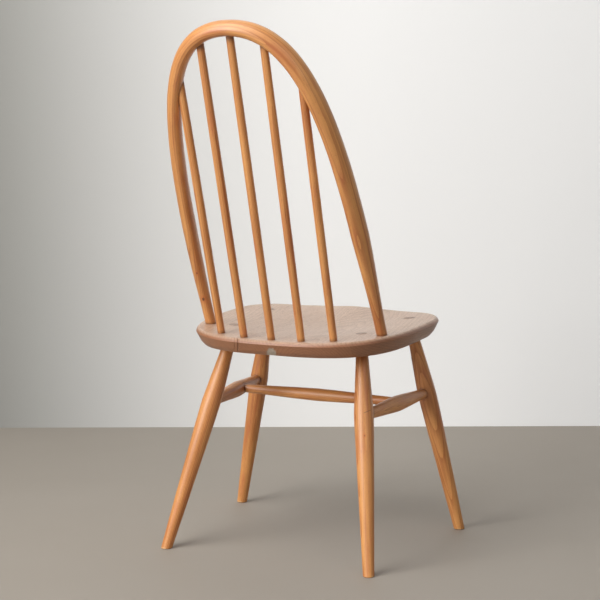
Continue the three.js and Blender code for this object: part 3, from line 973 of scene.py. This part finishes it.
def beech_figure(shader, grain):
    """The colour of the bare wood, and the streaks and flecks in it."""
    rings = shader.rings(grain, *BEECH_RINGS)
    streak = shader.noise(grain, BEECH_LUMPS["streak"], 4.0)
    cloud = shader.noise(grain, BEECH_LUMPS["cloud"], 2.0)
    fleck = shader.ramp(shader.noise(grain, BEECH_LUMPS["fleck"], 1.0), 0.62, 0.74)
    tone = shader.add(shader.scale(streak, 0.55), shader.scale(rings, 0.2))
    tone = shader.add(tone, shader.scale(cloud, 0.5))
    colour = shader.mix(shader.ramp(tone, 0.36, 0.88), BEECH_PALE, BEECH_DARK)
    elsewhere = shader.vector("ADD", grain, BLUSH_SHIFT)
    blush = shader.ramp(shader.noise(elsewhere, BEECH_LUMPS["blush"], 3.0), 0.5, 0.72)
    colour = shader.tint(colour, blush, BLUSH)
    return shader.tint(colour, fleck, FLECK), streak, fleck


def with_knots(shader, place, colour):
    """The colour with dark knots in it, each in a ruddy halo."""
    for centre, size, strength in KNOTS:
        offset = shader.vector("SUBTRACT", place, in_frame(centre))
        away = shader.vector("LENGTH", shader.vector("MULTIPLY", offset, (1, 1, KNOT_STRETCH)))
        rim = shader.noise(place, BEECH_LUMPS["knot"])
        ragged = shader.add(away, shader.scale(rim, KNOT_RAGGED * size))
        halo = shader.ramp(ragged, KNOT_HALO_EDGE[0] * size, KNOT_HALO_EDGE[1] * size)
        colour = shader.tint(colour, halo, KNOT_HALO)
        core = shader.ramp(ragged, KNOT_CORE_EDGE[0] * size, KNOT_CORE_EDGE[1] * size)
        colour = shader.tint(colour, core, (strength, KNOT_CORE))
    return colour


def beech_material():
    shader = Shader("lacquered_beech")
    grain = shader.attribute("grain", "Vector")
    grime_and_shade = shader.attribute("grime_and_shade")
    place = shader.place()
    height = shader.part(place, "Z")
    colour, streak, fleck = beech_figure(shader, grain)
    colour = with_knots(shader, place, colour)
    colour = shader.tint(colour, dark_line_mask(shader, place), DARK_LINE)
    level = shader.math("COMPARE", height, SEAT_HEIGHT, TENON_BAND)
    pale_facing_up = shader.math("MULTIPLY", shader.ramp(shader.upward(), 0.9, 0.98), level)
    colour = shader.tint(colour, pale_facing_up, WORN_TENON)
    # Patchy grime and painted shade near the joints
    patchy = shader.ramp(shader.noise(place, BEECH_LUMPS["dirt_and_shade"], 2.0), 0.3, 0.7)
    dirt_and_shade = shader.math("MULTIPLY", grime_and_shade, shader.add(shader.scale(patchy, 0.35), 0.5))
    colour = shader.mix(dirt_and_shade, colour, BEECH_DIRT_AND_SHADE)
    scuff = shader.noise(place, BEECH_LUMPS["scuff"], 3.0)
    rubbed = shader.ramp(shader.add(height, shader.scale(scuff, RUBBED_RAGGED)), *RUBBED_HEIGHTS)
    colour = shader.tint(colour, rubbed, RUBBED_FOOT)
    # Painted shade along the bottom of each foot
    colour = shader.mix(shader.ramp(height, *FOOT_CONTACT_SHADE_HEIGHTS), colour, FOOT_CONTACT_SHADE)
    gloss = shader.ramp(height, *GLOSS_HEIGHTS)
    dull = shader.math("SUBTRACT", 1.0, gloss)
    uneven = shader.noise(grain, BEECH_LUMPS["gloss"], 3.0)
    roughness = shader.add(shader.scale(uneven, 0.22), 0.34)
    roughness = shader.add(roughness, shader.scale(rubbed, 0.25))
    roughness = shader.add(roughness, shader.scale(dull, 0.14))
    relief = shader.add(shader.scale(streak, 0.5), shader.scale(fleck, -0.3))
    coat = shader.add(shader.scale(gloss, 0.6), 0.2)
    return shader.finish(colour, roughness, relief, BEECH_RELIEF, coat)


def elm_planks(shader, grain):
    """Places in the plank, shifted beyond each glue joint so that the figure changes there."""
    across = shader.part(grain, "X")
    place = shader.vector("ADD", grain, ELM_START)
    for joint, side, shift in ELM_JOINTS:
        beyond = shader.math(side, across, joint)
        step = shader.node("ShaderNodeCombineXYZ", {0: beyond, 1: beyond, 2: beyond}).outputs[0]
        place = shader.vector("ADD", place, shader.vector("MULTIPLY", step, shift))
    return place


def elm_material():
    shader = Shader("satin_elm")
    grain = shader.attribute("grain", "Vector")
    grime_and_shade = shader.attribute("grime_and_shade")
    chip = shader.attribute("chip")
    place = elm_planks(shader, grain)
    along = shader.part(place, "Z")
    tilt = [shader.scale(along, share) for share in ELM_TILT]
    lean = shader.node("ShaderNodeCombineXYZ", {0: tilt[0], 1: tilt[1]}).outputs[0]
    rings = shader.rings(shader.vector("ADD", place, lean), *ELM_RINGS)
    streak = shader.noise(place, ELM_LUMPS["streak"], 4.0)
    pore = shader.ramp(shader.noise(place, ELM_LUMPS["pore"], 1.0), 0.56, 0.66)
    cloud = shader.noise(place, ELM_LUMPS["cloud"], 2.0)
    tone = shader.add(shader.scale(rings, 0.25), shader.scale(streak, 0.45))
    tone = shader.add(tone, shader.scale(cloud, 0.35))
    colour = shader.mix(shader.ramp(tone, 0.15, 1.05), *ELM_COLOURS)
    # Surfaces facing up, the top and the band at its edge, are paler: partly wear, partly painted sheen and
    # light
    worn_and_sheen_colour = shader.mix(shader.ramp(tone, 0.25, 0.85), *ELM_WORN_AND_SHEEN_COLOURS)
    pale_facing_up = shader.ramp(shader.upward(), 0.45, 0.97)
    colour = shader.tint(colour, pale_facing_up, (ELM_WORN_AND_SHEEN, worn_and_sheen_colour))
    open_pore = shader.math("MULTIPLY", pore, shader.math("SUBTRACT", 1.0, rings))
    colour = shader.tint(colour, open_pore, OPEN_PORE)
    # Grime and painted shade round the joints, and the stain in the splits
    colour = shader.tint(colour, grime_and_shade, ELM_GRIME_AND_SHADE)
    filler = shader.mix(shader.noise(place, ELM_LUMPS["filler"], 3.0), *FILLER_COLOURS)
    colour = shader.tint(colour, chip, (FILLER, filler))
    uneven = shader.noise(place, ELM_LUMPS["gloss"], 3.0)
    roughness = shader.add(shader.scale(uneven, 0.2), 0.34)
    roughness = shader.add(roughness, shader.scale(open_pore, 0.2))
    relief = shader.add(shader.scale(streak, 0.3), shader.scale(open_pore, -0.8))
    return shader.finish(colour, roughness, relief, ELM_RELIEF, ELM_COAT)


def wedge_material():
    shader = Shader("wedge_end_grain")
    grain = shader.attribute("grain", "Vector")
    grime_and_shade = shader.attribute("grime_and_shade")
    speck = shader.ramp(shader.noise(grain, WEDGE_LUMPS, 2.0), 0.4, 0.65)
    colour = shader.mix(shader.rings(grain, *WEDGE_RINGS), *WEDGE_COLOURS)
    colour = shader.mix(grime_and_shade, colour, WEDGE_STAIN)
    colour = shader.tint(colour, speck, WEDGE_SPECK)
    roughness = shader.add(shader.scale(speck, 0.2), 0.4)
    return shader.finish(colour, roughness, speck, WEDGE_RELIEF, WEDGE_COAT)


# Stage

def view_directions():
    """Level directions ahead of the camera and to its right."""
    ahead = np.array([math.sin(CAMERA_YAW), -math.cos(CAMERA_YAW), 0])
    return ahead, np.array([ahead[1], -ahead[0], 0])


def add_camera():
    data = bpy.data.cameras.new("camera")
    data.lens = CAMERA_LENS
    data.sensor_width = CAMERA_SENSOR
    camera = bpy.data.objects.new("camera", data)
    camera.location = Vector(CAMERA_PLACE) + Vector(OFFSET)
    aimed = Euler((math.pi / 2 - CAMERA_PITCH, 0, math.pi + CAMERA_YAW)).to_matrix()
    camera.rotation_euler = (aimed @ Matrix.Rotation(CAMERA_ROLL, 3, "Z")).to_euler()
    bpy.context.scene.collection.objects.link(camera)
    bpy.context.scene.camera = camera


def stage_plane(name, corners, material):
    mesh = bpy.data.meshes.new(name)
    mesh.from_pydata([tuple(corner) for corner in corners], [], [[0, 1, 2, 3]])
    mesh.materials.append(material)
    plane = bpy.data.objects.new(name, mesh)
    bpy.context.scene.collection.objects.link(plane)
    plane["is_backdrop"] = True


def floor_material():
    """Plain matt floor with faint clouds."""
    shader = Shader("pale_floor")
    cloud = shader.noise(shader.place(), FLOOR_LUMPS, 3.0)
    sockets = {"Base Color": shader.mix(cloud, *FLOOR_COLOURS), "Roughness": FLOOR_ROUGHNESS}
    return shader.show(shader.node("ShaderNodeBsdfPrincipled", sockets).outputs[0])


def wall_material():
    """Plain pale wall with painted light: darker towards the camera's left, lighter and faintly glowing
    towards its right. It lets the view through from behind.
    """
    shader = Shader("pale_wall")
    right = view_directions()[1]
    rightward = shader.vector("DOT_PRODUCT", shader.place(), tuple(right))
    # Painted shade towards the camera's left, painted light and glow towards its right
    painted_light_share = shader.ramp(rightward, WALL_PAINTED_SHADE_AT, WALL_PAINTED_LIGHT_AT)
    sockets = {
        "Base Color": shader.mix(painted_light_share, *WALL_PAINTED_SHADE_AND_LIGHT_COLOURS),
        "Roughness": WALL_ROUGHNESS,
        "Emission Color": (1, 1, 1, 1),
        "Emission Strength": shader.scale(painted_light_share, WALL_PAINTED_GLOW),
    }
    surface = shader.node("ShaderNodeBsdfPrincipled", sockets).outputs[0]
    clear = shader.node("ShaderNodeBsdfTransparent").outputs[0]
    behind = shader.node("ShaderNodeNewGeometry").outputs["Backfacing"]
    return shader.show(shader.node("ShaderNodeMixShader", {0: behind, 1: surface, 2: clear}).outputs[0])


def add_stage():
    ahead, right = view_directions()
    turns = ((-1, -1), (1, -1), (1, 1), (-1, 1))
    corners = [OFFSET + FLOOR_REACH * (a * right + b * ahead) for a, b in turns]
    corners = [np.array([corner[0], corner[1], 0]) for corner in corners]
    stage_plane("floor", corners[::-1], floor_material())
    foot = np.array(CAMERA_PLACE) + OFFSET + WALL_DISTANCE * ahead
    foot[2] = 0
    low = [foot - WALL_HALF_WIDTH * right, foot + WALL_HALF_WIDTH * right]
    high = [corner + [0, 0, WALL_HEIGHT] for corner in low]
    stage_plane("wall", [low[0], low[1], high[1], high[0]], wall_material())


def add_light(name, place, target, size, power, colour):
    data = bpy.data.lights.new(name, "AREA")
    data.shape = "RECTANGLE"
    data.size, data.size_y = size
    data.energy = power
    data.color = colour
    light = bpy.data.objects.new(name, data)
    light.location = Vector(place)
    light.rotation_euler = (Vector(target) - Vector(place)).to_track_quat("-Z", "Y").to_euler()
    bpy.context.scene.collection.objects.link(light)


def add_lights():
    ahead, right = view_directions()
    target = np.array(LIGHT_TARGET)
    for name, ((rightward, forward, rise), size, power, colour) in LIGHTS.items():
        place = target + rightward * right + forward * ahead + [0, 0, rise]
        add_light(name, place, target, size, power, colour)


def add_world():
    world = bpy.data.worlds.new("studio")
    world.use_nodes = True
    sockets = world.node_tree.nodes["Background"].inputs
    sockets["Color"].default_value = WORLD_COLOUR
    sockets["Strength"].default_value = WORLD_STRENGTH
    bpy.context.scene.world = world
    bpy.context.scene.view_settings.view_transform = "Standard"


def write_sizes():
    boxes = {"cad": cad_box, "visual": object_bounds()}
    {name: [list(low), list(high)] for name, (low, high) in boxes.items()}


def build():
    add_camera()
    beech = beech_material()
    add_seat(elm_material())
    for side in SIDES:
        for end in FOOT_X:
            add_leg(end, side, beech)
    add_stretchers(beech)
    add_bow(beech)
    add_spindles(beech)
    add_wedges(wedge_material())
    add_stage()
    add_lights()
    add_world()


build()
write_sizes()
